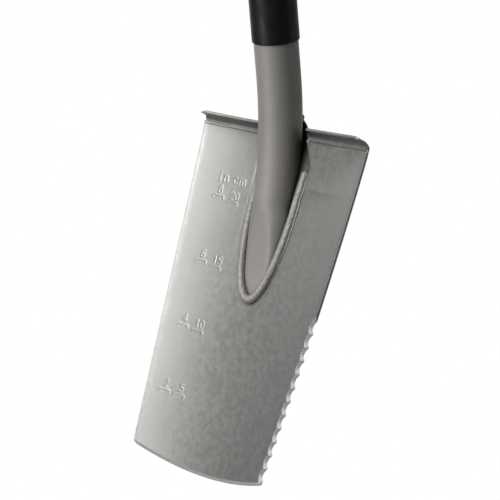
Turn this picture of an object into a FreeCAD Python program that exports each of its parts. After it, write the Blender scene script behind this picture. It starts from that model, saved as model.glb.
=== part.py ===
"""Garden spade: serrated steel blade with a depth scale, welded tube shaft, sleeve and D-grip.

Millimetres.  The origin is the lowest point of the cutting edge, on the blade's middle line.
X runs across the blade (the saw edge is at +X), -Y is the front of the blade, where the
treads fold and the shaft leans, and +Z points up from the edge towards the treads.
"""
import FreeCAD, Part
import math
import os

from FreeCAD import Rotation, Vector

# ---------------------------------------------------------------- driving dimensions
# blade sheet
SHEET = 2.0                 # thickness of the pressed sheet
BLADE_HEIGHT = 265.0        # cutting edge to the top of the treads
FOOT_WIDTH = 131.0          # across the cutting edge
TREAD_WIDTH = 165.0         # across the blade at the treads
SIDE_BOW = 1.4              # how far each side swells beyond a straight taper
EDGE_SAG = 8.3              # rise of the cutting edge's arc at the corners
CORNER_RADIUS = 2.0         # corners of the cutting edge
DISH = 9.0                  # depth of the hollow across the blade
LENGTH_BOW = 1.5            # how far the middle of the length bows back
BEVEL_HEIGHT = 2.4          # ground bevel along the cutting edge
EDGE_LAND = 0.5             # thickness left at the cutting edge

# shoulder, treads and tab
SHOULDER_SLOPE = 14.5       # degrees the sheet tips forward below the treads
TREAD_BEND = 5.0            # inner radius of the tread's fold
TREAD_DEPTH = 10.7          # tread's front edge ahead of the fold line
TREAD_END_RADIUS = 9.0      # rounded outer ends of the treads, seen from above
TREAD_GAP_LEFT = 0.5        # from the side of the shaft's channel to the left tread
TREAD_GAP_RIGHT = 11.0      # and to the front corner of the right tread
SHOULDER_RADIUS = 7.0       # top corners of the blade, seen from the front
CHANNEL_CLEARANCE = 2.5     # beside the shaft, between the treads
WELD_CLEARANCE = 0.8        # beside the nose weld, lower down
SEAT_TAPER_START = 25.0     # below the top of the treads, where the seat starts to narrow
SEAT_TAPER_END = 7.0        # and where it is as narrow as the channel
TAB_RISE = 11.0             # tab behind the shaft, above the treads
TAB_INSET = 0.5             # how much the tab's half width is less than the tube's
TAB_LEAN = 10.3             # degrees the tab leans forward with the shaft

# saw edge
TOOTH_COUNT = 12
TOOTH_PITCH = 10.1
FIRST_TOOTH_HEIGHT = 127.0  # centre of the highest scallop
SCALLOP_RADIUS = 5.0        # at the back of the sheet
SCALLOP_DEPTH = 2.3         # below the line of the tips
SCALLOP_BEVEL = 2.5         # how much wider each scallop is at the front

# shaft
TUBE_DIAMETER = 33.0
TUBE_WALL = 2.0
SHAFT_LEAN_LOW = 13.0       # degrees between the blade and the welded end
SHAFT_LEAN = 29.0           # degrees between the blade and the straight shaft
BEND_RADIUS = 327.0         # of the tube's middle line
BEND_DROP = 50.0            # start of the bend below the top of the treads
TUBE_BACK_SET = 17.0        # back of the tube behind the hollow of the blade, at that start
SHAFT_STRAIGHT = 560.0      # from the end of the bend to the tube's top

# welds
NOSE_WELD_RADIUS = 4.5      # the bead's own round
NOSE_WELD_OFFSET = 3.6      # bead's middle line outside the tube's wall
NOSE_WELD_DROP = 30.0       # below the top of the treads, where the bead's two arms stop
TAB_WELD_RADIUS = 3.2
TAB_WELD_HALF_ANGLE = 30.0  # degrees of the tab's round that are welded
TAB_WELD_REGION = 60.0      # side of the box round the tab that holds what trims its bead

# sleeve and collar
SLEEVE_WALL = 1.1
SLEEVE_START = 25.2         # from the end of the bend, along the shaft
SLEEVE_EDGE_RADIUS = 0.5
COLLAR_LENGTH = 14.0
COLLAR_WALL = 4.6
COLLAR_EDGE_RADIUS = 1.6

# D-grip
SOCKET_DEPTH = 84.0         # how far the tube goes into the socket
SOCKET_WALL = 5.0
SOCKET_TOP_WALL = 7.0
SOCKET_ROOF = 10.0
SOCKET_MOUTH_RADIUS = 2.0   # rounds of the socket's outline
SOCKET_FLARE_RADIUS = 20.0
SOCKET_CROWN_RADIUS = 12.0
GRIP_WIDTH = 100.0          # between the middle lines of the two corners
GRIP_HEIGHT = 92.0          # from the throat of the D to the bar's middle line
THROAT_WIDTH = 26.0         # middle lines of the arms where they leave the socket
GRIP_CORNER_RADIUS = 20.0
THROAT_RADIUS = 9.0
ARM_THICKNESS = 20.0        # seen from the front
ARM_DEPTH = 26.0            # front to back
PAD_LENGTH = 68.0
PAD_WALL = 2.6
PAD_EDGE_RADIUS = 1.2

# plug in the tube's top end
PLUG_DEPTH = 22.0
PLUG_FLANGE = 3.0
PLUG_WALL = 5.5

# grip screws
SCREW_DIAMETER = 5.0
SCREW_LENGTH = 13.0
SCREW_HEAD_DIAMETER = 10.0
SCREW_HEAD_HEIGHT = 2.8
SCREW_SLOT_LENGTH = 5.6
SCREW_SLOT_WIDTH = 1.1
SCREW_SPACING = 30.0
SCREW_HOLE_CLEARANCE = 0.2

# ---------------------------------------------------------------- derived values
TUBE_RADIUS = TUBE_DIAMETER / 2
BORE_RADIUS = TUBE_RADIUS - TUBE_WALL
LEAN_LOW = math.radians(SHAFT_LEAN_LOW)
LEAN = math.radians(SHAFT_LEAN)
SLOPE = math.radians(SHOULDER_SLOPE)
FOLD_HEIGHT = BLADE_HEIGHT - SHEET - TREAD_BEND * (1 - math.sin(SLOPE))
REACH = 60.0                # how far cutting tools run past the sheet
CHANNEL_HALF_WIDTH = TUBE_RADIUS + CHANNEL_CLEARANCE
SEAT_HALF_WIDTH = TUBE_RADIUS + NOSE_WELD_OFFSET + NOSE_WELD_RADIUS + WELD_CLEARANCE
TAB_RADIUS = TUBE_RADIUS - TAB_INSET
NOSE_ALLOWANCE = 1.6 * TUBE_RADIUS / math.sin(LEAN_LOW)    # raw tube, before it is cut
BEND_START = Vector(0, DISH + TUBE_BACK_SET - TUBE_RADIUS, BLADE_HEIGHT - BEND_DROP)
BEND_CENTRE = BEND_START + Vector(0, -math.cos(LEAN_LOW), -math.sin(LEAN_LOW)) * BEND_RADIUS
BEND_END = BEND_CENTRE + Vector(0, math.cos(LEAN), math.sin(LEAN)) * BEND_RADIUS
TOP_OF_TUBE = SHAFT_STRAIGHT
SOCKET_START = TOP_OF_TUBE - SOCKET_DEPTH
SLEEVE_END = SOCKET_START - COLLAR_LENGTH
THROAT_HEIGHT = TOP_OF_TUBE + PLUG_FLANGE + SOCKET_ROOF
BAR_HEIGHT = THROAT_HEIGHT + GRIP_HEIGHT


# ---------------------------------------------------------------- general helpers
def half_width(z):
    """Half the blade's width at height z."""
    share = z / BLADE_HEIGHT
    taper = FOOT_WIDTH + (TREAD_WIDTH - FOOT_WIDTH) * share
    return taper / 2 + SIDE_BOW * 4 * share * (1 - share)


def dished_face(x, z):
    """Y of the blade's hollow front face, and of the tab that continues it upwards."""
    share = z / BLADE_HEIGHT
    hollow = DISH * (1 - (x / half_width(z)) ** 2)
    bow = LENGTH_BOW * 4 * share * (1 - share)
    above = max(z - FOLD_HEIGHT, 0.0)
    return hollow + bow - above * math.tan(math.radians(TAB_LEAN))


def rounded_wire(points, radii):
    """Closed wire through points, with a tangent arc of its own radius at each corner."""
    edges = []
    starts = []
    ends = []
    count = len(points)
    for i, corner in enumerate(points):
        back = (points[i - 1] - corner).normalize()
        onward = (points[(i + 1) % count] - corner).normalize()
        half_turn = (math.pi - back.getAngle(onward)) / 2
        reach = radii[i] * math.tan(half_turn)
        bisector = (back + onward).normalize()
        centre = corner + bisector * (radii[i] / math.cos(half_turn))
        starts.append(corner + back * reach)
        ends.append(corner + onward * reach)
        if radii[i] > 0:
            middle = centre - bisector * radii[i]
            edges.append(Part.Arc(starts[i], middle, ends[i]).toShape())
    for i in range(count):
        edges.append(Part.LineSegment(ends[i], starts[(i + 1) % count]).toShape())
    return Part.Wire(Part.__sortEdges__(edges))


def on_shaft(shape):
    """Move a shape from the shaft's own frame, Z along its middle line, to its place."""
    placed = shape.copy()
    placed.rotate(Vector(0, 0, 0), Vector(1, 0, 0), SHAFT_LEAN)
    placed.translate(BEND_END)
    return placed


def one_solid(shape):
    """The largest solid of a cut shape, cleaned of seams."""
    largest = max(shape.Solids, key=lambda solid: solid.Volume)
    return largest.removeSplitter()


def ring(outer, inner, start, length, edge_radius):
    """A tube along Z with its outer end edges rounded."""
    body = Part.makeCylinder(outer, length, Vector(0, 0, start))
    rims = [edge for edge in body.Edges if isinstance(edge.Curve, Part.Circle)]
    body = body.makeFillet(edge_radius, rims)
    return body.cut(Part.makeCylinder(inner, length, Vector(0, 0, start)))


# ---------------------------------------------------------------- blade
def behind_dish(offset):
    """Everything behind the hollow face, which is moved back by offset."""
    columns = 13
    rows = 23
    low = -15.0
    high = BLADE_HEIGHT + TAB_RISE + 25.0
    wide = TREAD_WIDTH / 2 + 12.0
    grid = []
    for i in range(columns):
        x = -wide + 2 * wide * i / (columns - 1)
        heights = [low + (high - low) * j / (rows - 1) for j in range(rows)]
        grid.append([Vector(x, dished_face(x, z) + offset, z) for z in heights])
    face = Part.BSplineSurface()
    face.interpolate(grid)
    return face.toShape().extrude(Vector(0, REACH, 0))


def shaft_seat(offset):
    """Slot for the shaft, from front to back, wide beside the nose weld and narrow above."""
    narrow = CHANNEL_HALF_WIDTH + offset
    broad = SEAT_HALF_WIDTH + offset
    top = BLADE_HEIGHT + 2 * REACH
    right = [Vector(broad, 0, 0), Vector(broad, 0, BLADE_HEIGHT - SEAT_TAPER_START),
             Vector(narrow, 0, BLADE_HEIGHT - SEAT_TAPER_END), Vector(narrow, 0, top)]
    left = [Vector(-point.x, 0, point.z) for point in reversed(right)]
    slot = Part.Face(Part.makePolygon(right + left + right[:1])).extrude(Vector(0, 4 * REACH, 0))
    slot.translate(Vector(0, -2 * REACH, 0))
    return slot


def behind_shoulder(offset):
    """Everything behind the sloped shoulder and above the treads' underside."""
    wide = TREAD_WIDTH
    normal = Vector(0, math.cos(SLOPE), math.sin(SLOPE))
    along = Vector(0, -math.sin(SLOPE), math.cos(SLOPE))
    bend = TREAD_BEND + offset
    fold = Vector(-wide, 0, FOLD_HEIGHT)
    centre = fold - normal * TREAD_BEND
    arc_start = centre + normal * bend
    half = (math.pi / 2 + SLOPE) / 2
    arc_middle = centre + Vector(0, math.cos(half), math.sin(half)) * bend
    arc_end = centre + Vector(0, 0, bend)
    foot = arc_start - along * 2 * REACH
    front = Vector(-wide, -REACH, arc_end.z)
    front_top = Vector(-wide, -REACH, BLADE_HEIGHT + REACH)
    back_top = Vector(-wide, REACH * 2, BLADE_HEIGHT + REACH)
    back_foot = Vector(-wide, REACH * 2, foot.z)
    edges = [Part.LineSegment(foot, arc_start).toShape()]
    edges.append(Part.Arc(arc_start, arc_middle, arc_end).toShape())
    corners = [arc_end, front, front_top, back_top, back_foot, foot]
    for first, second in zip(corners, corners[1:]):
        edges.append(Part.LineSegment(first, second).toShape())
    body = Part.Face(Part.Wire(edges)).extrude(Vector(2 * wide, 0, 0))
    return body.cut(shaft_seat(offset))


def front_outline():
    """The blade's outline seen from the front, as a prism from front to back."""
    heights = [EDGE_SAG + (BLADE_HEIGHT - EDGE_SAG) * i / 6 for i in range(7)]
    right = [Vector(half_width(z), 0, z) for z in heights]
    left = [Vector(-point.x, 0, point.z) for point in reversed(right)]
    right_side = Part.BSplineCurve()
    right_side.interpolate(right)
    left_side = Part.BSplineCurve()
    left_side.interpolate(left)
    edges = [Part.Arc(left[-1], Vector(0, 0, 0), right[0]).toShape()]
    edges.append(right_side.toShape())
    edges.append(Part.LineSegment(right[-1], left[0]).toShape())
    edges.append(left_side.toShape())
    prism = Part.Face(Part.Wire(edges)).extrude(Vector(0, 2 * REACH, 0))
    prism.translate(Vector(0, -REACH, 0))
    feet = corner_edges(prism, 0.0, BLADE_HEIGHT / 2)
    prism = prism.makeFillet(CORNER_RADIUS, feet)
    shoulders = corner_edges(prism, BLADE_HEIGHT - 1.0, BLADE_HEIGHT + 1.0)
    return prism.makeFillet(SHOULDER_RADIUS, shoulders)


def corner_edges(prism, low, high):
    """The prism's edges that run from front to back between two heights."""
    found = []
    for edge in prism.Edges:
        first = edge.Vertexes[0].Point
        last = edge.Vertexes[-1].Point
        if abs(first.y - last.y) > REACH and low < min(first.z, last.z) < high:
            found.append(edge)
    return found


def tab_outline():
    """The rounded tab between the treads, as a prism from front to back."""
    centre_height = BLADE_HEIGHT + TAB_RISE - TAB_RADIUS
    start = Vector(0, -REACH, centre_height)
    disc = Part.makeCylinder(TAB_RADIUS, 2 * REACH, start, Vector(0, 1, 0))
    strip = Part.makeBox(2 * TAB_RADIUS, 2 * REACH, TAB_RADIUS)
    strip.translate(Vector(-TAB_RADIUS, -REACH, centre_height - TAB_RADIUS))
    return disc.fuse(strip)


def tread_plan():
    """What the treads may cover seen from above, as an upright prism."""
    edge = TREAD_WIDTH / 2
    inner_left = -CHANNEL_HALF_WIDTH - TREAD_GAP_LEFT
    inner_right = CHANNEL_HALF_WIDTH + SHEET
    front_right = CHANNEL_HALF_WIDTH + TREAD_GAP_RIGHT
    back = REACH
    front = -TREAD_DEPTH
    left = [Vector(-edge, front, 0), Vector(inner_left, front, 0), Vector(inner_left, 0, 0),
            Vector(0, 0, 0), Vector(0, back, 0), Vector(-edge, back, 0)]
    left_radii = [TREAD_END_RADIUS, 1.0, 0, 0, 0, 0]
    right = [Vector(0, 0, 0), Vector(inner_right, 0, 0), Vector(front_right, front, 0),
             Vector(edge, front, 0), Vector(edge, back, 0), Vector(0, back, 0)]
    right_radii = [0, 0, 1.0, TREAD_END_RADIUS, 0, 0]
    plan = None
    for points, radii in ((left, left_radii), (right, right_radii)):
        prism = Part.Face(rounded_wire(points, radii)).extrude(Vector(0, 0, 2 * REACH))
        prism.translate(Vector(0, 0, FOLD_HEIGHT - REACH))
        plan = prism if plan is None else plan.fuse(prism)
    return plan


def edge_bevel():
    """Wedge that grinds the front of the cutting edge, following the hollow face."""
    sections = 15
    wide = FOOT_WIDTH / 2 + 3.0
    arc_radius = ((FOOT_WIDTH / 2) ** 2 + EDGE_SAG ** 2) / (2 * EDGE_SAG)
    fall = Vector(0, SHEET - EDGE_LAND, -BEVEL_HEIGHT)
    wires = []
    for i in range(sections):
        x = -wide + 2 * wide * i / (sections - 1)
        edge_z = arc_radius - math.sqrt(arc_radius ** 2 - x ** 2)
        start = Vector(x, dished_face(x, edge_z + BEVEL_HEIGHT), edge_z + BEVEL_HEIGHT)
        upper = start - fall
        lower = start + fall * 2
        outer = Vector(x, upper.y - BEVEL_HEIGHT, lower.z)
        wires.append(Part.makePolygon([upper, lower, outer, upper]))
    return Part.makeLoft(wires, True, True)


def saw_scallops():
    """Ground scallops along the right edge: round at the back, wider at the front."""
    cutters = []
    for i in range(TOOTH_COUNT):
        z = FIRST_TOOTH_HEIGHT - TOOTH_PITCH * i
        edge_x = half_width(z)
        tilt = math.atan(2 * DISH / edge_x)
        axis = Vector(-math.sin(tilt), -math.cos(tilt), 0)
        outward = Vector(math.cos(tilt), -math.sin(tilt), 0)
        on_edge = Vector(edge_x, dished_face(edge_x, z), z)
        centre = on_edge - axis * SHEET + outward * (SCALLOP_RADIUS - SCALLOP_DEPTH)
        growth = SCALLOP_BEVEL / SHEET
        tall = SHEET * 3
        hole = Part.makeCylinder(SCALLOP_RADIUS, tall * 2, centre - axis * tall, axis)
        cone = Part.makeCone(SCALLOP_RADIUS, SCALLOP_RADIUS + growth * tall, tall, centre, axis)
        cutters.append(hole.fuse(cone))
    return cutters


def make_blade():
    front = behind_dish(0.0).fuse(behind_shoulder(0.0))
    back = behind_dish(SHEET).fuse(behind_shoulder(SHEET))
    sheet = front.cut(back)
    body = sheet.common(front_outline())
    low_part = Part.makeBox(4 * REACH, 4 * REACH, FOLD_HEIGHT + REACH)
    low_part.translate(Vector(-2 * REACH, -2 * REACH, -REACH))
    body = body.common(low_part.fuse(tread_plan()))
    body = body.fuse(sheet.common(tab_outline()))
    body = body.cut(edge_bevel())
    for cutter in saw_scallops():
        body = body.cut(cutter)
    return one_solid(body)


# ---------------------------------------------------------------- shaft
def bent_rod(radius):
    """Solid rod along the shaft's middle line, from below the nose to the tube's top."""
    up_low = Vector(0, -math.sin(LEAN_LOW), math.cos(LEAN_LOW))
    up = Vector(0, -math.sin(LEAN), math.cos(LEAN))
    foot = BEND_START - up_low * NOSE_ALLOWANCE
    lower = Part.makeCylinder(radius, NOSE_ALLOWANCE, foot, up_low)
    disc = Part.Face(Part.Wire(Part.makeCircle(radius, BEND_START, up_low)))
    bend = disc.revolve(BEND_CENTRE, Vector(1, 0, 0), SHAFT_LEAN - SHAFT_LEAN_LOW)
    upper = Part.makeCylinder(radius, SHAFT_STRAIGHT, BEND_END, up)
    return lower.fuse([bend, upper]).removeSplitter()


def screw_places():
    """Heights of the two grip screws along the straight shaft."""
    middle = SOCKET_START + SOCKET_DEPTH / 2
    return [middle - SCREW_SPACING / 2, middle + SCREW_SPACING / 2]


def screw_holes(diameter):
    """Holes for the grip screws, through the back of the socket and the tube."""
    reach = TUBE_DIAMETER
    backwards = Vector(0, 1, 0)
    holes = []
    for s in screw_places():
        holes.append(Part.makeCylinder(diameter / 2, reach, Vector(0, 0, s), backwards))
    return Part.makeCompound(holes)


def make_shaft_tube(outer_rod):
    outer = outer_rod.cut(behind_dish(0.0))
    bore = bent_rod(BORE_RADIUS).cut(behind_dish(-TUBE_WALL))
    tube = outer.cut(bore)
    return one_solid(tube.cut(on_shaft(screw_holes(SCREW_DIAMETER))))


# ---------------------------------------------------------------- welds
def make_nose_weld(outer_rod, blade):
    """Bead round the tube's cut end, beside the ellipse where it meets the blade."""
    seat = dished_face(TUBE_RADIUS, BEND_START.z)
    top_z = BEND_START.z - (seat - BEND_START.y) / math.tan(LEAN_LOW)
    side_half = TUBE_RADIUS + NOSE_WELD_OFFSET
    long_half = TUBE_RADIUS / math.sin(LEAN_LOW) + NOSE_WELD_OFFSET
    centre = Vector(0, seat, top_z)
    left = Vector(-side_half, seat, top_z)
    right = Vector(side_half, seat, top_z)
    nose = Vector(0, seat, top_z - long_half)
    ellipse = Part.Ellipse(nose, right, centre)
    quarters = []
    for first, last in ((left, nose), (nose, right)):
        start = ellipse.parameter(first)
        end = ellipse.parameter(last)
        if end - start > math.pi:
            start += 2 * math.pi
        if start - end > math.pi:
            end += 2 * math.pi
        quarters.append(ellipse.toShape(min(start, end), max(start, end)))
    left_top = Vector(-side_half, seat, BLADE_HEIGHT - NOSE_WELD_DROP)
    right_top = Vector(side_half, seat, BLADE_HEIGHT - NOSE_WELD_DROP)
    left_run = Part.LineSegment(left_top, left).toShape()
    right_run = Part.LineSegment(right, right_top).toShape()
    path = Part.Wire(Part.__sortEdges__(quarters + [left_run, right_run]))
    section = Part.Wire(Part.makeCircle(NOSE_WELD_RADIUS, left_top, Vector(0, 0, 1)))
    bead = path.makePipeShell([section], True, True)
    for point in (left_top, right_top):
        bead = bead.fuse(Part.makeSphere(NOSE_WELD_RADIUS, point))
    return one_solid(bead.cut(outer_rod).cut(behind_dish(0.0)).cut(blade))


def make_tab_weld(outer_rod, blade):
    """Short bead between the top of the tab and the back of the tube."""
    top = BLADE_HEIGHT + TAB_RISE
    seat = dished_face(0, top) + SHEET / 2
    centre = Vector(0, seat, top - TAB_RADIUS)
    front_to_back = Vector(0, 1, 0)
    circle = Part.makeCircle(TAB_WELD_RADIUS, Vector(0, seat, top), Vector(1, 0, 0))
    section = Part.Face(Part.Wire(circle))
    section.rotate(centre, front_to_back, -TAB_WELD_HALF_ANGLE)
    bead = section.revolve(centre, front_to_back, 2 * TAB_WELD_HALF_ANGLE)
    for turn in (-TAB_WELD_HALF_ANGLE, TAB_WELD_HALF_ANGLE):
        end = Part.makeSphere(TAB_WELD_RADIUS, Vector(0, seat, top))
        end.rotate(centre, front_to_back, turn)
        bead = bead.fuse(end)
    region = Part.makeBox(TAB_WELD_REGION, TAB_WELD_REGION, TAB_WELD_REGION)
    region.translate(Vector(0, seat, top) - Vector(1, 1, 1) * TAB_WELD_REGION / 2)
    return one_solid(bead.cut(outer_rod.common(region)).cut(blade.common(region)))


# ---------------------------------------------------------------- sleeve and grip
def make_sleeve():
    outer = TUBE_RADIUS + SLEEVE_WALL
    length = SLEEVE_END - SLEEVE_START
    return on_shaft(ring(outer, TUBE_RADIUS, SLEEVE_START, length, SLEEVE_EDGE_RADIUS))


def make_collar():
    outer = TUBE_RADIUS + COLLAR_WALL
    return on_shaft(ring(outer, TUBE_RADIUS, SLEEVE_END, COLLAR_LENGTH, COLLAR_EDGE_RADIUS))


def grip_loop(extra):
    """The D: an elliptical section swept round the arms and the bar."""
    half = GRIP_WIDTH / 2
    throat = THROAT_WIDTH / 2
    corners = [Vector(-half, 0, BAR_HEIGHT), Vector(half, 0, BAR_HEIGHT),
               Vector(throat, 0, THROAT_HEIGHT), Vector(-throat, 0, THROAT_HEIGHT)]
    radii = [GRIP_CORNER_RADIUS, GRIP_CORNER_RADIUS, THROAT_RADIUS, THROAT_RADIUS]
    path = rounded_wire(corners, radii)
    start = Vector(0, 0, BAR_HEIGHT)
    top = min(path.Edges, key=lambda edge: edge.CenterOfMass.distanceToPoint(start))
    section_at = top.Vertexes[0].Point
    ellipse = Part.Ellipse(section_at + Vector(0, ARM_DEPTH / 2 + extra, 0),
                           section_at + Vector(0, 0, ARM_THICKNESS / 2 + extra), section_at)
    return path.makePipeShell([Part.Wire(ellipse.toShape())], True, True)


def make_grip_body():
    low = TUBE_RADIUS + SOCKET_WALL
    high = TUBE_RADIUS + SOCKET_TOP_WALL
    socket_top = THROAT_HEIGHT + ARM_THICKNESS / 2
    shoulder = TOP_OF_TUBE - SOCKET_DEPTH / 4
    profile = [Vector(0, 0, SOCKET_START), Vector(low, 0, SOCKET_START), Vector(high, 0, shoulder),
               Vector(high, 0, THROAT_HEIGHT), Vector(0, 0, socket_top)]
    rounds = [0, SOCKET_MOUTH_RADIUS, SOCKET_FLARE_RADIUS, SOCKET_CROWN_RADIUS, 0]
    socket = Part.Face(rounded_wire(profile, rounds))
    socket = socket.revolve(Vector(0, 0, 0), Vector(0, 0, 1), 360)
    body = socket.fuse(grip_loop(0.0))
    mouth = Vector(0, 0, SOCKET_START)
    body = body.cut(Part.makeCylinder(TUBE_RADIUS, SOCKET_DEPTH + PLUG_FLANGE, mouth))
    body = body.cut(screw_holes(SCREW_DIAMETER + 2 * SCREW_HOLE_CLEARANCE))
    counterbore = SCREW_HEAD_DIAMETER / 2 + SCREW_HOLE_CLEARANCE
    for s in screw_places():
        seat = Vector(0, screw_seat(), s)
        body = body.cut(Part.makeCylinder(counterbore, REACH, seat, Vector(0, 1, 0)))
    return on_shaft(one_solid(body))


def make_grip_pad():
    """Soft cover round the middle of the bar."""
    half_depth = ARM_DEPTH / 2 + PAD_WALL
    half_thickness = ARM_THICKNESS / 2 + PAD_WALL
    start = Vector(-PAD_LENGTH / 2, 0, BAR_HEIGHT)
    far = start + Vector(0, half_depth, 0)
    ellipse = Part.Ellipse(far, start + Vector(0, 0, half_thickness), start)
    cover = Part.Face(Part.Wire(ellipse.toShape())).extrude(Vector(PAD_LENGTH, 0, 0))
    ends = [edge for edge in cover.Edges if abs(edge.BoundBox.XLength) < 0.01]
    cover = cover.makeFillet(PAD_EDGE_RADIUS, ends)
    return on_shaft(one_solid(cover.cut(grip_loop(0.0))))


def make_tube_plug():
    flange = Part.makeCylinder(TUBE_RADIUS, PLUG_FLANGE, Vector(0, 0, TOP_OF_TUBE))
    foot = Vector(0, 0, TOP_OF_TUBE - PLUG_DEPTH)
    stem = Part.makeCylinder(BORE_RADIUS, PLUG_DEPTH, foot)
    hollow = Part.makeCylinder(BORE_RADIUS - PLUG_WALL, PLUG_DEPTH, foot)
    return on_shaft(flange.fuse(stem).removeSplitter().cut(hollow))


def screw_seat():
    """Distance of the screw heads' seats from the shaft's middle line."""
    return TUBE_RADIUS + SOCKET_WALL - SCREW_HEAD_HEIGHT / 2


def make_grip_screws():
    """Two self-tapping pan-head screws through the back of the socket into the tube."""
    screws = []
    for s in screw_places():
        seat = Vector(0, screw_seat(), s)
        head = Part.makeCylinder(SCREW_HEAD_DIAMETER / 2, SCREW_HEAD_HEIGHT, seat, Vector(0, 1, 0))
        far_edge = max(head.Edges, key=lambda edge: edge.CenterOfMass.y)
        head = head.makeFillet(SCREW_HEAD_HEIGHT * 0.6, [far_edge])
        shank = Part.makeCylinder(SCREW_DIAMETER / 2, SCREW_LENGTH, seat, Vector(0, -1, 0))
        screw = head.fuse(shank).removeSplitter()
        slot_top = seat + Vector(0, SCREW_HEAD_HEIGHT * 0.45, 0)
        across = Vector(SCREW_SLOT_LENGTH, REACH, SCREW_SLOT_WIDTH)
        upright = Vector(SCREW_SLOT_WIDTH, REACH, SCREW_SLOT_LENGTH)
        for size in (across, upright):
            slot = Part.makeBox(size.x, size.y, size.z)
            slot.translate(slot_top - Vector(size.x / 2, 0, size.z / 2))
            screw = screw.cut(slot)
        screws.append(on_shaft(screw))
    return Part.makeCompound(screws)


# ---------------------------------------------------------------- build
def main():
    outer_rod = bent_rod(TUBE_RADIUS)
    blade = make_blade()
    nodes = {
        "blade": blade,
        "shaft_tube": make_shaft_tube(outer_rod),
        "nose_weld": make_nose_weld(outer_rod, blade),
        "tab_weld": make_tab_weld(outer_rod, blade),
        "shaft_sleeve": make_sleeve(),
        "grip_collar": make_collar(),
        "grip_body": make_grip_body(),
        "grip_pad": make_grip_pad(),
        "tube_plug": make_tube_plug(),
        "grip_screws": make_grip_screws(),
    }
    os.makedirs("parts", exist_ok=True)
    for name, shape in nodes.items():
        shape.exportStep("parts/" + name + ".step")
        box = shape.BoundBox
        print(name, "solids", len(shape.Solids), "valid", shape.isValid(),
              "volume", round(shape.Volume), "z", round(box.ZMin, 1), round(box.ZMax, 1))


main()
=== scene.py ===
"""Looks of a garden spade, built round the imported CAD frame.

The blade, tube, welds and sleeve are remade here in finer shape. Shapes are worked out in
millimetres in the frame's own axes and turned to metres when a mesh is made.
"""
import math

import bpy
import numpy as np
from mathutils import Matrix, Vector


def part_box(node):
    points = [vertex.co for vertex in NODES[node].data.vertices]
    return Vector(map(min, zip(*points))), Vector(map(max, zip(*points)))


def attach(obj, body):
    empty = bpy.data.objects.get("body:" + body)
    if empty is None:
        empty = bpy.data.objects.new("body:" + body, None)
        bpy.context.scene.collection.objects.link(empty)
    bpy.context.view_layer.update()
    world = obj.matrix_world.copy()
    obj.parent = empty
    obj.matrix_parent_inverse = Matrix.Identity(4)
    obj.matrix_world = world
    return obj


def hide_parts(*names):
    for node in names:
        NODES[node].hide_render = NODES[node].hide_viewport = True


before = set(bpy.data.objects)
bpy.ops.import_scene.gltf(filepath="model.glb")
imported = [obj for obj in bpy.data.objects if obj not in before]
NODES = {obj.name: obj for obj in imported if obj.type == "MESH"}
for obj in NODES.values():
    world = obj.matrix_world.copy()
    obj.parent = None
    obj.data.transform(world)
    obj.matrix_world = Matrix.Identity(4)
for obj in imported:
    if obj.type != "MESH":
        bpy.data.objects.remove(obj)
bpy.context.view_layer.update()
MM = 0.001

# ---------------------------------------------------------------- sizes in millimetres
SHEET = 2.0
TAB_RISE = 11.0          # top of the tab above the treads
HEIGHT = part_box("blade")[1].z * 1000 - TAB_RISE
FOOT_WIDTH = 131.0
TREAD_WIDTH = 165.0
SIDE_BOW = 1.4
EDGE_SAG = 8.3
CORNER_RADIUS = 2.0
DISH = 9.0
LENGTH_BOW = 1.5
BEVEL_HEIGHT = 2.4
EDGE_LAND = 0.5
SLOPE = math.radians(14.5)
TREAD_BEND = 5.0
TREAD_DEPTH = 10.7
TREAD_END_RADIUS = 5.0
SHOULDER_RADIUS = 7.0
TAB_LEAN = math.radians(10.3)
TAB_RADIUS = 16.0
TAB_HALF_WIDTH = 16.0
TAB_TOP = HEIGHT + TAB_RISE
FOLD = HEIGHT - SHEET - TREAD_BEND * (1 - math.sin(SLOPE))
TOOTH_COUNT = 12
TOOTH_PITCH = 10.1
FIRST_TOOTH = 127.0      # height of the highest scallop's centre
SCALLOP_RADIUS = 5.0     # at the back of the sheet
SCALLOP_WIDENING = 1.25  # growth of the radius per millimetre towards the front
SCALLOP_INSET = 2.7      # centre of a scallop outside the edge
EDGE_LEAN = 0.972        # share of a cut that shows across the dished edge
TUBE_RADIUS = 16.5
LEAN_LOW = math.radians(13.0)
LEAN = math.radians(29.0)
BEND_RADIUS = 327.0
BEND_START = np.array([0.0, DISH + 0.5, HEIGHT - 50.0])
SHAFT_STRAIGHT = 560.0
SLEEVE_START = 25.2
SLEEVE_END = 462.0
SLEEVE_RADIUS = 17.6
BEND_CENTRE = BEND_START + BEND_RADIUS * np.array([0.0, -math.cos(LEAN_LOW), -math.sin(LEAN_LOW)])
BEND_END = BEND_CENTRE + BEND_RADIUS * np.array([0.0, math.cos(LEAN), math.sin(LEAN)])
SPLIT = 21.5             # inner ends of the treads from the middle line
TREAD_BOW_LEFT = 8.4     # how far each side sits back beside the shaft
TREAD_BOW_RIGHT = 3.0
TREAD_RISE = 0.10        # rise of the treads per millimetre towards the front
LEFT_TREAD_FLARE = -2.0  # how far the inner end moves out at the front
RIGHT_TREAD_FLARE = 5.5
SEAT_HALF_WIDTH = 25.4   # of the shaft's seat in the blade
SEAT_NARROWING = 6.4
SHOULDER_EASE = 36.0     # height below the fold over which the shoulder's slope eases
SHOULDER_EASING = 0.0028
SHOULDER_TAIL = 0.4      # slope of the shoulder below that
SHOULDER_BLEND = 1.6     # softness of the line where shoulder and hollow meet
RIM_HEIGHT = 0.25
FOLD_GROOVE = 0.45       # depth of the crease just under the fold
MARK_HEIGHT = 0.15       # of the depth scale above the face
MARK_MARGIN = 1.5        # reach of a stroke's search box
RIPPLE_PITCH = 1.7       # of the weld beads
RIGHT_ARM_FLARE = 0.07   # slope of the nose bead's right arm outwards
BARE_KIND, GROUND_KIND = 1, 2  # material numbers of the blade's bare and ground steel


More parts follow.
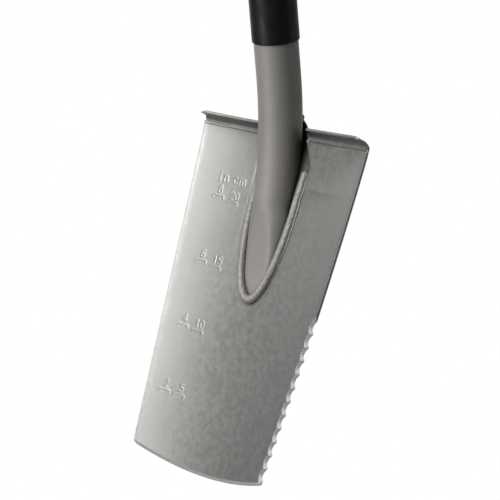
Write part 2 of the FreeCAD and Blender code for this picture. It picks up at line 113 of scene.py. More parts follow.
def smooth(t):
    """Smooth step from 0 at t = 0 to 1 at t = 1."""
    t = np.clip(t, 0.0, 1.0)
    return t * t * (3 - 2 * t)


# ---------------------------------------------------------------- meshes
def make_mesh(name, points, quads, materials, kinds=None, sharp=None):
    """An object from points in millimetres and four-cornered faces, shaded smooth."""
    mesh = bpy.data.meshes.new(name)
    points = np.asarray(points, float).reshape(-1, 3) * MM
    quads = np.asarray(quads, np.int32).reshape(-1, 4)
    mesh.vertices.add(len(points))
    mesh.vertices.foreach_set("co", points.astype(np.float32).ravel())
    mesh.loops.add(quads.size)
    mesh.loops.foreach_set("vertex_index", quads.ravel())
    mesh.polygons.add(len(quads))
    mesh.polygons.foreach_set("loop_start", np.arange(0, quads.size, 4, dtype=np.int32))
    for material in materials:
        mesh.materials.append(material)
    if kinds is not None:
        mesh.polygons.foreach_set("material_index", np.asarray(kinds, np.int32))
    mesh.update(calc_edges=True)
    mesh.validate()
    mesh.polygons.foreach_set("use_smooth", np.ones(len(mesh.polygons), bool))
    if sharp is not None:
        mesh.set_sharp_from_angle(angle=math.radians(sharp))
    piece = bpy.data.objects.new(name, mesh)
    bpy.context.scene.collection.objects.link(piece)
    return piece


def grid_quads(ids):
    """Faces between the rows and columns of a table of point numbers."""
    return np.stack([ids[:-1, :-1], ids[:-1, 1:], ids[1:, 1:], ids[1:, :-1]], -1).reshape(-1, 4)


def ring_quads(rows, around, start=0):
    """Faces of a tube of rows rings with around points each."""
    ids = start + np.arange(rows * around).reshape(rows, around)
    ids = np.concatenate([ids, ids[:, :1]], 1)
    return grid_quads(ids)


# ---------------------------------------------------------------- blade surfaces
def half_width(z):
    """Half the blade's width at a height, with its sides bowed out a little."""
    share = z / HEIGHT
    return (FOOT_WIDTH + (TREAD_WIDTH - FOOT_WIDTH) * share) / 2 + SIDE_BOW * 4 * share * (1 - share)


def dished(x, z):
    """Y of the hollow front face; above the fold it follows the tab."""
    share = z / HEIGHT
    hollow = DISH * (1 - (x / half_width(z)) ** 2)
    return hollow + LENGTH_BOW * 4 * share * (1 - share) - np.maximum(z - FOLD, 0) * math.tan(TAB_LEAN)


def seat_width(z):
    """Half the width of the shaft's seat, which narrows towards the treads."""
    return SEAT_HALF_WIDTH - SEAT_NARROWING * np.clip((z - (HEIGHT - 25.0)) / 18.0, 0, 1)


def tread_bow(x, z):
    """How far the shoulders and treads sit back with the hollow of the blade."""
    amount = np.where(x < 0, TREAD_BOW_LEFT, TREAD_BOW_RIGHT)
    return amount * (1 - np.clip(x / half_width(np.minimum(z, HEIGHT)), -1, 1) ** 2)


def face_y(x, z, back):
    """Y of the front face, or of the back face, up to the fold."""
    hollow = dished(x, z) + (SHEET if back else 0.0)
    lift = SHEET * math.sin(SLOPE) if back else 0.0
    drop = np.maximum(FOLD + lift - z, 0)
    ease = np.minimum(drop, SHOULDER_EASE)
    plane = ease * math.tan(SLOPE) - SHOULDER_EASING * ease ** 2 + (drop - ease) * SHOULDER_TAIL
    plane = plane + tread_bow(x, z) + (SHEET * math.cos(SLOPE) if back else 0.0)
    both = (hollow + plane - np.sqrt((hollow - plane) ** 2 + SHOULDER_BLEND ** 2)) / 2
    step = smooth((np.abs(x) - seat_width(z) - (1.0 if back else 0.2)) / 1.4)
    return hollow + step * (both - hollow)


def scallop_cut(h, z):
    """How far the saw edge is ground back at height h above the sheet's back face."""
    cut = np.zeros_like(z)
    for i in range(TOOTH_COUNT):
        dz = z - (FIRST_TOOTH - TOOTH_PITCH * i)
        radius = SCALLOP_RADIUS + SCALLOP_WIDENING * h
        reach = np.sqrt(np.maximum(radius ** 2 - dz ** 2, 0)) - SCALLOP_INSET
        cut = np.maximum(cut, reach)
    return cut


# ---------------------------------------------------------------- raised depth scale
GLYPHS = {
    "0": [[(.30 + .25 * math.cos(a), .5 + .5 * math.sin(a)) for a in np.linspace(0, 2 * math.pi, 25)]],
    "1": [[(.10, .80), (.32, 1.0), (.32, 0.0)]],
    "2": [[(.05, .76), (.12, .92), (.30, 1.0), (.50, .92), (.56, .74), (.46, .52), (.04, 0), (.58, 0)]],
    "4": [[(.42, 0), (.42, 1.0), (.02, .32), (.60, .32)]],
    "5": [[(.55, 1), (.12, 1), (.08, .57), (.30, .64), (.52, .52), (.58, .30), (.46, .06), (.24, 0),
           (.03, .1)]],
    "6": [[(.50, .93), (.32, 1), (.13, .82), (.04, .45), (.09, .12), (.30, 0), (.52, .12), (.56, .34),
           (.45, .55), (.25, .6), (.07, .42)]],
    "8": [[(.30 + .20 * math.cos(a), .77 + .23 * math.sin(a)) for a in np.linspace(0, 2 * math.pi, 21)],
          [(.30 + .26 * math.cos(a), .27 + .27 * math.sin(a)) for a in np.linspace(0, 2 * math.pi, 21)]],
    "i": [[(.10, 0), (.10, .62)], [(.10, .90), (.10, .93)]],
    "n": [[(0, 0), (0, .64)], [(0, .42), (.15, .62), (.34, .60), (.42, .40), (.42, 0)]],
    "c": [[(.44, .54), (.28, .66), (.09, .56), (.02, .33), (.09, .10), (.28, 0), (.44, .12)]],
    "m": [[(0, 0), (0, .64)], [(0, .42), (.13, .62), (.27, .58), (.31, .38), (.31, 0)],
          [(.31, .42), (.44, .62), (.58, .58), (.62, .38), (.62, 0)]],
}
GLYPH_HEIGHT = 5.9
GLYPH_STEP = 4.4
INCH_COLUMN = -53.7
CM_COLUMN = -39.7
SCALE_ZERO = 3.06


def scale_strokes():
    """Strokes of the depth scale as polylines in x and z."""
    strokes = []

    def write(text, x, z, tall=GLYPH_HEIGHT, step=GLYPH_STEP):
        width = step * (len(text) - 1) + 0.6 * tall
        for i, letter in enumerate(text):
            left = x - width / 2 + step * i
            for line in GLYPHS[letter]:
                strokes.append([(left + u * tall, z + v * tall) for u, v in line])

    columns = ((INCH_COLUMN, 50.8, ("2", "4", "6", "8")), (CM_COLUMN, 50.0, ("5", "10", "15", "20")))
    for x, spacing, labels in columns:
        for k, label in enumerate(labels, 1):
            z = SCALE_ZERO + spacing * k
            strokes.append([(x - 5.0, z - 1.8), (x - 4.7, z - .6), (x - 3.8, z), (x + 3.8, z),
                            (x + 4.7, z - .6), (x + 5.0, z - 2.6)])
            write(label, x + 0.6, z + 1.7)
    write("in", INCH_COLUMN + 1.4, 217.2, 7.4, 4.6)
    write("cm", CM_COLUMN + 1.4, 216.8, 8.0, 6.0)
    return strokes


def raised(x, z):
    """Height of the depth scale above the blade's face."""
    height = np.zeros_like(x)
    for line in scale_strokes():
        pts = np.array(line)
        low, high = pts.min(0) - MARK_MARGIN, pts.max(0) + MARK_MARGIN
        near = (x > low[0]) & (x < high[0]) & (z > low[1]) & (z < high[1])
        px, pz = x[near], z[near]
        best = np.full(px.shape, 9.0)
        for (ax, az), (bx, bz) in zip(pts[:-1], pts[1:]):
            dx, dz = bx - ax, bz - az
            t = np.clip(((px - ax) * dx + (pz - az) * dz) / (dx * dx + dz * dz + 1e-9), 0, 1)
            best = np.minimum(best, np.hypot(px - ax - t * dx, pz - az - t * dz))
        height[near] = np.maximum(height[near], MARK_HEIGHT * (1 - smooth((best - 0.15) / 0.7)))
    return height


# ---------------------------------------------------------------- blade mesh
def spread(*runs):
    """Sorted values from runs of (start, end, step)."""
    values = [np.arange(a, b, step) for a, b, step in runs]
    return np.concatenate(values + [np.array([runs[-1][1]])])


def blade_columns():
    """Columns of the blade's grid as shares of its half width, with the tab's and treads' inner ends."""
    split = SPLIT / half_width(FOLD)
    tab = TAB_HALF_WIDTH / half_width(FOLD)
    left = spread((-1, -.97, .006), (-.97, -.87, .02), (-.87, -.40, .0064), (-.40, -split, .0082))
    middle = spread((-tab, tab, tab / 10))
    right = spread((split, .38, .0082), (.38, .93, .022), (.93, 1.0, .007))
    walls = np.linspace(tab, split, 9)
    columns = np.concatenate([left[:-1], -walls[::-1], middle[1:-1], walls, right[1:]])
    return columns, split, tab


def build_blade():
    """Points, faces and material numbers of the blade: two faces joined by a rounded edge strip."""
    columns, split, tab = blade_columns()
    split_left = int(np.argmin(np.abs(columns + split)))
    split_right = int(np.argmin(np.abs(columns - split)))
    tab_left = int(np.argmin(np.abs(columns + tab)))
    tab_right = int(np.argmin(np.abs(columns - tab)))
    heights = spread((0, .3, .3), (.3, 2.4, .7), (2.4, 6, .9), (6, 132, .56), (132, 149, 1.2),
                     (149, 167, .5), (167, 199, 1.2), (199, 229, .5), (229, FOLD - 4.0, .8),
                     (FOLD - 4.0, FOLD, .4))
    arc_radius = ((FOOT_WIDTH / 2) ** 2 + EDGE_SAG ** 2) / (2 * EDGE_SAG)
    s, h = np.meshgrid(columns, heights)
    settle = 1 - smooth(h / 70.0)

    def place(back):
        """The face up to the fold."""
        x = s * half_width(h)
        for _ in range(3):
            sag = arc_radius - np.sqrt(arc_radius ** 2 - np.clip(x, -70, 70) ** 2)
            z = h + sag * settle
            x = s * half_width(z)
        edge = half_width(z) - EDGE_LEAN * scallop_cut(0.0 if back else SHEET, z)
        inner = 0.93 * half_width(z)
        x = np.where(s > 0.93, inner + (edge - inner) * (s - 0.93) / 0.07, x)
        side = np.clip((CORNER_RADIUS - (1 - np.abs(s)) * half_width(z)) / CORNER_RADIUS, 0, 1)
        foot = np.clip((CORNER_RADIUS - h) / CORNER_RADIUS, 0, 1)
        x = x - np.sign(s) * CORNER_RADIUS * side * (1 - np.sqrt(1 - foot ** 2 / 2))
        z = z + CORNER_RADIUS * foot * (1 - np.sqrt(1 - side ** 2 / 2))
        if back:
            z = z + SHEET * math.sin(SLOPE) * np.clip((z - (FOLD - 19.0)) / 19.0, 0, 1)
        y = face_y(x, z, back)
        if not back:
            ground = (SHEET - EDGE_LAND) * (1 - np.clip(h / BEVEL_HEIGHT, 0, 1))
            rim = RIM_HEIGHT * smooth((np.abs(s) - 0.965) / 0.015) * smooth((h - 6.0) / 8.0)
            rim = np.where((s > 0) & (z < FIRST_TOOTH + 9.0), 0.0, rim)
            crease = FOLD_GROOVE * np.exp(-((FOLD - 1.2 - h) / 0.5) ** 2)
            y = y + ground - raised(x, z) - rim + crease * (np.abs(x) > SPLIT)
        return np.stack([x, y, z], -1)

    turn = np.linspace(SLOPE, math.pi / 2, 9)[1:]
    reach_start = math.asin((TREAD_BEND * math.cos(SLOPE) - 1.7) / TREAD_END_RADIUS)
    reach = np.linspace(reach_start, math.pi / 2, 9)[1:]

    def tread_rows(back):
        """Y and z of a tread from the fold round to its front edge."""
        radius = TREAD_BEND + (SHEET if back else 0)
        rows = [(-TREAD_BEND * math.cos(SLOPE) + radius * math.cos(a),
                 FOLD - TREAD_BEND * math.sin(SLOPE) + radius * math.sin(a)) for a in turn]
        top = FOLD - TREAD_BEND * math.sin(SLOPE) + radius
        rows += [(-(TREAD_DEPTH - TREAD_END_RADIUS) - TREAD_END_RADIUS * math.sin(a), top) for a in reach]
        return rows

    def place_tread(side, back):
        """A tread, on the left for side -1 and on the right for side 1."""
        picked = columns[:split_left + 1] if side < 0 else columns[split_right:]
        share = (np.abs(picked) - split) / (1 - split)
        rows = []
        for y, z in tread_rows(back):
            wide = half_width(min(z, HEIGHT))
            rise = min(max(z - (HEIGHT - SHOULDER_RADIUS), 0), SHOULDER_RADIUS)
            outer = wide - SHOULDER_RADIUS + math.sqrt(SHOULDER_RADIUS ** 2 - rise ** 2)
            ahead = min(max(-y - (TREAD_DEPTH - TREAD_END_RADIUS), 0), TREAD_END_RADIUS)
            plan = TREAD_WIDTH / 2 - TREAD_END_RADIUS + math.sqrt(TREAD_END_RADIUS ** 2 - ahead ** 2)
            outer = min(outer, plan)
            forward = min(max(-y, 0), TREAD_DEPTH) / TREAD_DEPTH
            inner = SPLIT + (RIGHT_TREAD_FLARE if side > 0 else LEFT_TREAD_FLARE) * forward
            x = side * (inner + (outer - inner) * share)
            lifted = np.full_like(x, z + TREAD_RISE * max(-y, 0))
            rows.append(np.stack([x, y + tread_bow(x, FOLD), lifted], -1))
        return np.array(rows)

    def place_tab(back):
        """The tab behind the shaft, with its round top."""
        x = columns[tab_left:tab_right + 1] * half_width(FOLD)
        x = np.clip(x, -TAB_HALF_WIDTH, TAB_HALF_WIDTH)
        top = TAB_TOP - TAB_RADIUS + np.sqrt(TAB_RADIUS ** 2 - x ** 2)
        rows = []
        for share in np.linspace(0, 1, 13)[1:]:
            z = FOLD + (top - FOLD) * share
            if back:
                z = z + SHEET * math.sin(SLOPE) * (1 - share)
            rows.append(np.stack([x, dished(x, z) + (SHEET if back else 0), z], -1))
        return np.array(rows)

    points = []
    count = 0
    sides = []
    for back in (False, True):
        blocks = [place(back), place_tread(-1, back), place_tab(back), place_tread(1, back)]
        ids = []
        for block in blocks:
            ids.append(count + np.arange(block.shape[0] * block.shape[1]).reshape(block.shape[:2]))
            count += block.shape[0] * block.shape[1]
            points.append(block.reshape(-1, 3))
        last = ids[0][-1]
        ids[1] = np.vstack([last[:split_left + 1][None], ids[1]])
        ids[2] = np.vstack([last[tab_left:tab_right + 1][None], ids[2]])
        ids[3] = np.vstack([last[split_right:][None], ids[3]])
        sides.append(ids)
    points = np.concatenate(points)

    def outline(ids):
        """Point numbers once round the edge of a face with its treads and tab."""
        main, left, tab_ids, right = ids
        loop = [main[0], main[1:, -1], right[1:, -1], right[-1, ::-1][1:], right[::-1, 0][1:],
                main[-1, tab_right:split_right][::-1], tab_ids[1:, -1], tab_ids[-1, ::-1][1:],
                tab_ids[::-1, 0][1:], main[-1, split_left:tab_left][::-1], left[1:, -1],
                left[-1, ::-1][1:], left[::-1, 0][1:], main[:-1, 0][::-1][:-1]]
        return np.concatenate(loop)

    front_loop, back_loop = outline(sides[0]), outline(sides[1])
    f, b = points[front_loop], points[back_loop]
    along = np.roll(f, -1, 0) - np.roll(f, 1, 0)
    through = b - f
    outward = np.cross(through, along)
    outward /= np.linalg.norm(outward, axis=1)[:, None] + 1e-9
    first = len(sides[0][0][0])
    saw_rows = np.zeros(len(f), bool)
    saw_rows[first - 1:first - 1 + len(heights)] = True
    cut_here = np.where(saw_rows, scallop_cut(SHEET, f[:, 2]), 0.0)
    plain = 1 - smooth(cut_here / 0.8)
    low_edge = np.zeros(len(f), bool)
    low_edge[:first] = True
    rings = [front_loop]
    for t in (0.08, 0.27, 0.5, 0.73, 0.92):
        ring = f + through * t
        bulge = 0.5 * (1 - abs(2 * t - 1) ** 2.6) * plain * np.where(low_edge, 0.15, 1.0)
        ring = ring + outward * bulge[:, None]
        wall_x = half_width(f[:, 2]) - EDGE_LEAN * scallop_cut(SHEET * (1 - t), f[:, 2])
        wall = np.stack([wall_x, dished(wall_x, f[:, 2]) + SHEET * t, f[:, 2]], -1)
        mix = (saw_rows & (cut_here > 0.02) & (f[:, 2] < 140)).astype(float)[:, None]
        ring = ring * (1 - mix) + wall * mix
        rings.append(count + np.arange(len(f)))
        count += len(f)
        points = np.concatenate([points, ring])
    rings.append(back_loop)
    rings = np.array(rings)
    strip = np.concatenate([rings, rings[:, :1]], 1)

    quads, kinds = [], []
    for which, ids in enumerate(sides):
        for block, table in enumerate(ids):
            faces = grid_quads(table)
            if which == 1:
                faces = faces[:, ::-1]
            quads.append(faces)
            rows = np.repeat(np.arange(table.shape[0] - 1), table.shape[1] - 1)
            row_heights = heights[np.minimum(rows, len(heights) - 1)]
            bevel = (which == 0) & (block == 0) & (row_heights < BEVEL_HEIGHT - .01)
            kinds.append(bevel.astype(int) * GROUND_KIND)
    bare = (saw_rows & (f[:, 2] < FIRST_TOOTH + 6.0)) | low_edge
    kinds.append(np.tile(bare.astype(int) * BARE_KIND, len(rings) - 1))
    quads.append(grid_quads(strip)[:, ::-1])
    return points, np.concatenate(quads), np.concatenate(kinds)


# ---------------------------------------------------------------- shaft
def shaft_line(station):
    """Point and direction of the tube's middle line; station 0 is the start of its bend."""
    bend_length = BEND_RADIUS * (LEAN - LEAN_LOW)
    if station < 0:
        way = np.array([0.0, -math.sin(LEAN_LOW), math.cos(LEAN_LOW)])
        return BEND_START + way * station, way
    if station < bend_length:
        angle = LEAN_LOW + station / BEND_RADIUS
        centre = BEND_CENTRE + BEND_RADIUS * np.array([0.0, math.cos(angle), math.sin(angle)])
        return centre, np.array([0.0, -math.sin(angle), math.cos(angle)])
    way = np.array([0.0, -math.sin(LEAN), math.cos(LEAN)])
    return BEND_END + way * (station - bend_length), way


def build_tube():
    """The bent tube, its lower end pressed flat on the blade, with a little of its bore at the top."""
    around = 112
    bend_length = BEND_RADIUS * (LEAN - LEAN_LOW)
    stations = spread((-86.0, -60, 1.0), (-60, bend_length, 1.6), (bend_length, bend_length + 30, 4),
                      (bend_length + 30, bend_length + SHAFT_STRAIGHT, 26))
    angles = np.linspace(0, 2 * math.pi, around, endpoint=False)
    rows = []
    for station in stations:
        centre, way = shaft_line(station)
        across = np.array([1.0, 0, 0])
        backward = np.cross(way, across)
        ring = np.cos(angles)[:, None] * across + np.sin(angles)[:, None] * backward
        rows.append(centre + TUBE_RADIUS * ring)
    outer = np.array(rows)
    face = dished(outer[..., 0], outer[..., 2])
    proud = 0.5 + 13.2 * np.clip((outer[..., 2] - 142.0) / 58.0, 0, 3) ** 1.8
    pressed = face - proud
    both = (outer[..., 1] + pressed + np.sqrt((outer[..., 1] - pressed) ** 2 + 1.2 ** 2)) / 2
    near_end = 1 - smooth((outer[..., 2] - 196.0) / 12.0)
    outer[..., 1] += (both - outer[..., 1]) * near_end
    outer[..., 0] *= 1 + 0.11 * near_end
    outer[..., 2] -= 3.4 * smooth((170.0 - outer[..., 2]) / 22.0)
    outer[..., 1] = np.minimum(outer[..., 1], face + 0.6)
    centre, way = shaft_line(stations[-1])
    inner = [outer[-1] + 0.0]
    for share, drop in ((0.97, 0.0), (0.88, 0.0), (0.86, 1.0), (0.86, 20.0)):
        inner.append(centre + (outer[-1] - centre) * share - way * drop)
    rows = np.concatenate([outer, np.array(inner[1:])])
    quads = ring_quads(len(rows), around)
    return rows.reshape(-1, 3), quads


def swept_bead(path, radius, around, ripple, seed):
    """A bead along a path, with faint uneven ripples and blunt ends."""
    random = np.random.default_rng(seed)
    path = np.asarray(path, float)
    step = np.linalg.norm(np.diff(path, axis=0), axis=1)
    length = np.concatenate([[0], np.cumsum(step)])
    way = np.gradient(path, axis=0)
    way /= np.linalg.norm(way, axis=1)[:, None]
    forward = np.array([0.0, -1.0, 0.0])
    side = np.cross(way, forward)
    side /= np.linalg.norm(side, axis=1)[:, None]
    angles = np.linspace(0, 2 * math.pi, around, endpoint=False)
    knots = np.linspace(0, length[-1], int(length[-1] / 7) + 3)
    wander = np.interp(length, knots, random.uniform(-1, 1, len(knots)))
    slow = np.interp(length, knots, random.uniform(-1, 1, len(knots)))
    rings = []
    for i, centre in enumerate(path):
        front = np.sin(angles)
        phase = (length[i] + 1.7 * (1 - front) + 1.1 * wander[i]) / RIPPLE_PITCH
        shape = 0.5 + 0.5 * np.sin(2 * math.pi * phase)
        fade = 0.35 + 0.65 * abs(slow[i])
        size = radius * (1 + 0.045 * slow[i]) + ripple * fade * (shape - 0.5)
        end = min(length[i], length[-1] - length[i])
        blunt = math.sqrt(max(1 - (1 - min(end / radius, 1)) ** 2, 0.0004))
        offset = side[i] * np.cos(angles)[:, None] + forward * front[:, None]
        rings.append(centre + offset * (size * blunt)[:, None])
    return np.array(rings).reshape(-1, 3), ring_quads(len(rings), around)


def nose_path():
    """Middle line of the U-shaped bead round the tube's lower end."""
    seat = float(dished(TUBE_RADIUS, BEND_START[2]))
    top = BEND_START[2] - (seat - BEND_START[1]) / math.tan(LEAN_LOW)
    wide = TUBE_RADIUS + 4.7
    tall = TUBE_RADIUS / math.sin(LEAN_LOW) + 6.5
    arm_top = HEIGHT - 27.0
    left = [(-wide, seat, z) for z in np.arange(arm_top, top, -0.5)]
    turn = np.linspace(math.pi, 2 * math.pi, 400)
    bowl = [(wide * math.cos(a), seat, top + tall * math.sin(a)) for a in turn]
    right = [(wide + RIGHT_ARM_FLARE * (z - top), seat, z) for z in np.arange(top + 0.4, arm_top, 0.5)]
    path = np.array(left + bowl + right)
    step = np.linalg.norm(np.diff(path, axis=0), axis=1)
    length = np.concatenate([[0], np.cumsum(step)])
    even = np.arange(0, length[-1], 0.42)
    return np.stack([np.interp(even, length, path[:, k]) for k in range(3)], -1)


def build_nose_bead():
    """The bead with a thin ridge along its outer toe on the right, both kept inside the sheet."""
    path = nose_path()
    points, quads = swept_bead(path, 3.4, 36, 0.16, 5)
    toe = path[280:-4]
    toe = toe + (toe - np.array([0.0, toe[0, 1], 216.0])) * np.array([3.5 / 21.2, 0.0, 3.5 / 80.0])
    toe[:, 1] = dished(toe[:, 0], toe[:, 2]) - 0.1
    toe_points, toe_quads = swept_bead(toe, 0.8, 12, 0.0, 6)
    quads = np.concatenate([quads, toe_quads + len(points)])
    points = np.concatenate([points, toe_points])
    points[:, 1] = np.minimum(points[:, 1], dished(points[:, 0], points[:, 2]) + 1.0)
    return points, quads


def tab_path():
    """Middle line of the bead between the tab's top and the tube."""
    seat = float(dished(0.0, TAB_TOP)) + SHEET / 2
    angles = np.radians(np.linspace(-30, 30, 60))
    middle = TAB_TOP - TAB_RADIUS
    return np.array([(TAB_RADIUS * math.sin(a), seat, middle + TAB_RADIUS * math.cos(a))
                     for a in angles])


def turned(profile, around):
    """Rings round the straight shaft from a profile of (radius, station from the bend's end)."""
    way = np.array([0.0, -math.sin(LEAN), math.cos(LEAN)])
    across = np.array([1.0, 0, 0])
    backward = np.cross(way, across)
    angles = np.linspace(0, 2 * math.pi, around, endpoint=False)
    ring = np.cos(angles)[:, None] * across + np.sin(angles)[:, None] * backward
    rows = [BEND_END + way * station + ring * radius for radius, station in profile]
    return np.array(rows).reshape(-1, 3), ring_quads(len(profile), around)


# ---------------------------------------------------------------- materials
def new_material(name):
    material = bpy.data.materials.new(name)
    material.use_nodes = True
    tree = material.node_tree
    shader = tree.nodes["Principled BSDF"]
    return material, tree, shader


def place_coordinates(tree):
    return tree.nodes.new("ShaderNodeTexCoord").outputs["Object"]


def noise(tree, vector, scale, detail=3.0, rough=0.5, distortion=0.0):
    node = tree.nodes.new("ShaderNodeTexNoise")
    node.inputs["Scale"].default_value = scale
    node.inputs["Detail"].default_value = detail
    node.inputs["Roughness"].default_value = rough
    node.inputs["Distortion"].default_value = distortion
    tree.links.new(vector, node.inputs["Vector"])
    return node.outputs["Fac"]


def ramp(tree, fac, stops):
    node = tree.nodes.new("ShaderNodeValToRGB")
    elements = node.color_ramp.elements
    while len(elements) < len(stops):
        elements.new(0.5)
    for element, (place, colour) in zip(elements, stops):
        element.position = place
        element.color = (*colour, 1)
    tree.links.new(fac, node.inputs["Fac"])
    return node.outputs["Color"]


def spread_value(tree, fac, low, high, start=0.35, end=0.65):
    node = tree.nodes.new("ShaderNodeMapRange")
    node.inputs["From Min"].default_value = start
    node.inputs["From Max"].default_value = end
    node.inputs["To Min"].default_value = low
    node.inputs["To Max"].default_value = high
    tree.links.new(fac, node.inputs["Value"])
    return node.outputs["Result"]


def bump(tree, height, distance, strength=1.0, normal=None):
    node = tree.nodes.new("ShaderNodeBump")
    node.inputs["Distance"].default_value = distance
    node.inputs["Strength"].default_value = strength
    tree.links.new(height, node.inputs["Height"])
    if normal is not None:
        tree.links.new(normal, node.inputs["Normal"])
    return node.outputs["Normal"]


def stretched(tree, vector, scale):
    node = tree.nodes.new("ShaderNodeMapping")
    node.inputs["Scale"].default_value = scale
    tree.links.new(vector, node.inputs["Vector"])
    return node.outputs["Vector"]


def multiplied(tree, first, second, factor=1.0):
    """A colour multiplied by another."""
    node = tree.nodes.new("ShaderNodeMix")
    node.data_type = "RGBA"
    node.blend_type = "MULTIPLY"
    node.inputs["Factor"].default_value = factor
    tree.links.new(first, node.inputs[6])
    tree.links.new(second, node.inputs[7])
    return node.outputs[2]


def paint_material(name, dark, light, metallic, roughness, peel, painted_crevice_shade=0.92, grain=0.0):
    """Metallic powder coat: fine flake, slow tone drift, orange peel, and painted shade that darkens the
    colour in crevices.
    """
    material, tree, shader = new_material(name)
    place = place_coordinates(tree)
    tone = noise(tree, place, 16.0, 3.0, 0.5)
    flake = noise(tree, place, 1500.0, 2.0, 0.7)
    coat = multiplied(tree, ramp(tree, tone, [(0.3, dark), (0.7, light)]),
                      ramp(tree, flake, [(0.3, (.86, .86, .85)), (0.7, (1.0, 1.0, 1.0))]))
    # Painted shade: ambient occlusion darkens the base colour in crevices, under the treads and beside
    # the welds, where shadow falls.
    shade = tree.nodes.new("ShaderNodeAmbientOcclusion")
    shade.samples = 8
    shade.inputs["Distance"].default_value = 0.04
    painted_shade_colour = ramp(tree, shade.outputs["AO"], [(0.30, (.06, .06, .06)), (0.88, (1.0, 1.0, 1.0))])
    tree.links.new(multiplied(tree, coat, painted_shade_colour, painted_crevice_shade), shader.inputs["Base Color"])
    shader.inputs["Metallic"].default_value = metallic
    patches = noise(tree, place, 240.0, 3.0)
    tree.links.new(spread_value(tree, patches, *roughness), shader.inputs["Roughness"])
    fine = bump(tree, noise(tree, place, 1300.0, 2.0, 0.6), 0.00006, peel)
    if grain > 0:
        fine = bump(tree, noise(tree, place, 520.0, 2.0, 0.5), grain, 1.0, fine)
    tree.links.new(fine, shader.inputs["Normal"])
    return material


def steel_material(name, colour, rough, metallic):
    """Ground steel with fine scratches across the edge."""
    material, tree, shader = new_material(name)
    place = place_coordinates(tree)
    lines = noise(tree, stretched(tree, place, (400.0, 400.0, 4000.0)), 1.0, 3.0, 0.6)
    darker = tuple(c * 0.8 for c in colour)
    tree.links.new(ramp(tree, lines, [(0.3, darker), (0.7, colour)]), shader.inputs["Base Color"])
    shader.inputs["Metallic"].default_value = metallic
    tree.links.new(spread_value(tree, lines, rough - .07, rough + .1), shader.inputs["Roughness"])
    tree.links.new(bump(tree, lines, 0.00004, 0.8), shader.inputs["Normal"])
    return material


def plastic_material(name, dark, light, roughness, grain, depth, specular=0.5):
    """Moulded plastic or rubber with a fine grain and slight polish from handling."""
    material, tree, shader = new_material(name)
    place = place_coordinates(tree)
    tone = noise(tree, place, 30.0, 4.0, 0.6)
    tree.links.new(ramp(tree, tone, [(0.3, dark), (0.7, light)]), shader.inputs["Base Color"])
    shader.inputs["Specular IOR Level"].default_value = specular
    patches = noise(tree, place, 70.0, 4.0)
    tree.links.new(spread_value(tree, patches, *roughness), shader.inputs["Roughness"])
    tree.links.new(bump(tree, noise(tree, place, grain, 3.0, 0.6), depth, 0.8), shader.inputs["Normal"])
    return material


def grey(value):
    return (value, value, value)


blade_paint = paint_material("blade_paint", (.46, .455, .44), (.49, .485, .47), 0.75, (.35, .42), 0.5)
tube_paint = paint_material("tube_paint", (.40, .385, .36), (.46, .44, .41), 0.4, (.55, .65), 0.5)
weld_paint = paint_material("weld_paint", (.44, .43, .41), (.52, .51, .49), 0.6, (.54, .64), 1.0,
                            painted_crevice_shade=0.4, grain=0.0007)
bare_steel = steel_material("bare_steel", (.60, .60, .59), 0.5, 0.55)
ground_steel = steel_material("ground_steel", (.74, .73, .71), 0.5, 0.35)
sleeve_plastic = plastic_material("sleeve_plastic", grey(.008), (.013, .013, .012), (.40, .52),
                                  1500, .00004, specular=0.32)
collar_rubber = plastic_material("collar_rubber", grey(.014), grey(.022), (.55, .7), 1200, .00006)
grip_plastic = plastic_material("grip_plastic", (.012, .012, .013), (.020, .020, .021), (.45, .6),
                                1400, .00008)
pad_rubber = plastic_material("pad_rubber", grey(.055), (.075, .075, .074), (.6, .75), 900, .00012)
plug_plastic = plastic_material("plug_plastic", grey(.012), grey(.02), (.4, .55), 1300, .00005)
zinc = steel_material("zinc_plate", (.62, .62, .60), 0.32, 0.9)


# ---------------------------------------------------------------- pieces
def own(piece, node):
    """Put a remade piece on the one body, in place of its CAD node."""
    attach(piece, "root")
    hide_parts(node)


points, quads, kinds = build_blade()
blade = make_mesh("spade_blade", points, quads, [blade_paint, bare_steel, ground_steel], kinds, 50)
own(blade, "blade")
own(make_mesh("spade_tube", *build_tube(), [tube_paint], None, 50), "shaft_tube")
own(make_mesh("nose_bead", *build_nose_bead(), [weld_paint]), "nose_weld")
own(make_mesh("tab_bead", *swept_bead(tab_path(), 3.2, 28, 0.16, 9), [weld_paint]), "tab_weld")

sleeve_profile = [(16.55, SLEEVE_START + 1.2), (16.6, SLEEVE_START + 0.1), (16.9, SLEEVE_START),
                  (17.3, SLEEVE_START), (17.52, SLEEVE_START + 0.15),
                  (SLEEVE_RADIUS, SLEEVE_START + 0.5)]
sleeve_profile += [(SLEEVE_RADIUS, s) for s in np.linspace(SLEEVE_START + 1.5, SLEEVE_END - 1.5, 30)]
sleeve_profile += [(SLEEVE_RADIUS, SLEEVE_END - .5), (17.4, SLEEVE_END - .1), (16.6, SLEEVE_END)]
sleeve = make_mesh("sleeve_skin", *turned(sleeve_profile, 112), [sleeve_plastic], None, 60)
own(sleeve, "shaft_sleeve")

for node, material in (("grip_collar", collar_rubber), ("grip_body", grip_plastic),
                       ("grip_pad", pad_rubber), ("tube_plug", plug_plastic), ("grip_screws", zinc)):
    mesh = NODES[node].data
    mesh.materials.clear()
    mesh.materials.append(material)

# ---------------------------------------------------------------- camera
AZIMUTH, ELEVATION, ROLL = (math.radians(v) for v in (42.38, -2.26, 15.27))
DISTANCE = 1.47491
AIM = Vector((0.0, 0.0, 0.130))
SIDEWAYS, DOWNWARDS = -0.00897, 0.03944
LENS_RATIO = 4.0         # focal length over picture width
SENSOR = 36.0


def direction(azimuth, elevation):
    """Unit vector towards an azimuth from the front and an elevation."""
    return Vector((math.sin(azimuth) * math.cos(elevation), -math.cos(azimuth) * math.cos(elevation),
                   math.sin(elevation)))


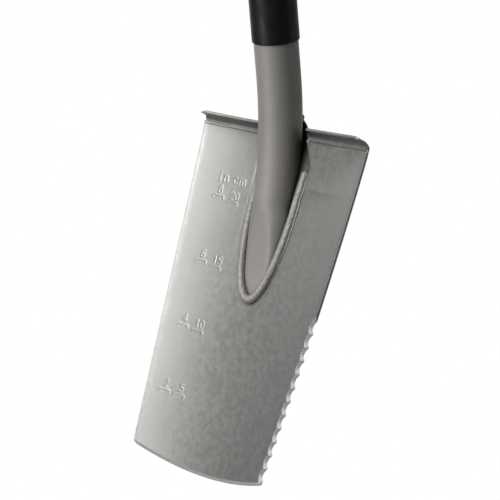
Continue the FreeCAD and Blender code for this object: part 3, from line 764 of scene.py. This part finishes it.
backwards = direction(AZIMUTH, ELEVATION)
level_right = (-backwards).cross(Vector((0, 0, 1))).normalized()
level_down = (-backwards).cross(level_right)
right = level_right * math.cos(ROLL) - level_down * math.sin(ROLL)
down = level_right * math.sin(ROLL) + level_down * math.cos(ROLL)
spot = AIM - right * SIDEWAYS - down * DOWNWARDS + backwards * DISTANCE
camera_data = bpy.data.cameras.new("camera")
camera_data.sensor_width = SENSOR
camera_data.lens = SENSOR * LENS_RATIO
camera_data.clip_start = 0.05
camera_data.clip_end = 50.0
camera = bpy.data.objects.new("camera", camera_data)
bpy.context.scene.collection.objects.link(camera)
turn = Matrix((right, -down, backwards)).transposed()
camera.matrix_world = Matrix.Translation(spot) @ turn.to_4x4()
bpy.context.scene.camera = camera


# ---------------------------------------------------------------- light and floor
def soft_box(name, azimuth, elevation, distance, width, height, power):
    """A rectangular light that faces the blade from the given side."""
    away = direction(math.radians(azimuth), math.radians(elevation))
    data = bpy.data.lights.new(name, "AREA")
    data.shape = "RECTANGLE"
    data.size = width
    data.size_y = height
    data.energy = power
    lamp = bpy.data.objects.new(name, data)
    bpy.context.scene.collection.objects.link(lamp)
    lamp.location = Vector((0, 0, 0.18)) + away * distance
    lamp.rotation_mode = "QUATERNION"
    lamp.rotation_quaternion = away.to_track_quat("Z", "Y")


soft_box("key_box", -6, 18, 1.7, 1.0, 1.3, 20)
soft_box("low_box", -20, -30, 1.5, 0.5, 0.4, 5)
soft_box("fill_box", -62, 20, 2.0, 0.9, 1.0, 3)
soft_box("side_box", -112, 10, 2.0, 1.2, 2.0, 4)
soft_box("rim_box", 138, 6, 2.2, 1.0, 1.6, 3.5)
soft_box("back_box", 218, 4, 2.4, 4.6, 3.2, 30)
soft_box("top_box", -30, 74, 1.9, 1.0, 1.0, 5)

world = bpy.data.worlds.new("studio")
world.use_nodes = True
bpy.context.scene.world = world
nodes = world.node_tree.nodes
links = world.node_tree.links
nodes.clear()


def backdrop(colour, strength):
    node = nodes.new("ShaderNodeBackground")
    node.inputs["Color"].default_value = (*colour, 1)
    node.inputs["Strength"].default_value = strength
    return node


seen = backdrop((1, 1, 1), 1.0)
lit = backdrop((0.80, 0.81, 0.82), 0.05)
path_node = nodes.new("ShaderNodeLightPath")
mix = nodes.new("ShaderNodeMixShader")
output = nodes.new("ShaderNodeOutputWorld")
links.new(path_node.outputs["Is Camera Ray"], mix.inputs["Fac"])
links.new(lit.outputs[0], mix.inputs[1])
links.new(seen.outputs[0], mix.inputs[2])
links.new(mix.outputs[0], output.inputs["Surface"])

floor_material, floor_tree, floor_shader = new_material("pale_floor")
floor_tone = noise(floor_tree, place_coordinates(floor_tree), 3.0, 4.0)
floor_tree.links.new(ramp(floor_tree, floor_tone, [(0.3, (.80, .80, .79)), (0.7, (.84, .84, .83))]),
                     floor_shader.inputs["Base Color"])
floor_shader.inputs["Roughness"].default_value = 0.8
FLOOR_LEVEL = -300.0
FLOOR_RINGS, FLOOR_SPOKES = 18, 96
spokes = np.linspace(0, 2 * math.pi, FLOOR_SPOKES, endpoint=False)
rings = [np.stack([r * np.cos(spokes), r * np.sin(spokes), np.full(FLOOR_SPOKES, FLOOR_LEVEL)], -1)
         for r in np.linspace(4.0, 850.0, FLOOR_RINGS)]
floor = make_mesh("floor", np.array(rings).reshape(-1, 3), ring_quads(FLOOR_RINGS, FLOOR_SPOKES),
                  [floor_material])
floor.visible_glossy = False
floor.visible_diffuse = False
floor.visible_shadow = False

scene = bpy.context.scene
scene.view_settings.view_transform = "Standard"
scene.view_settings.look = "None"
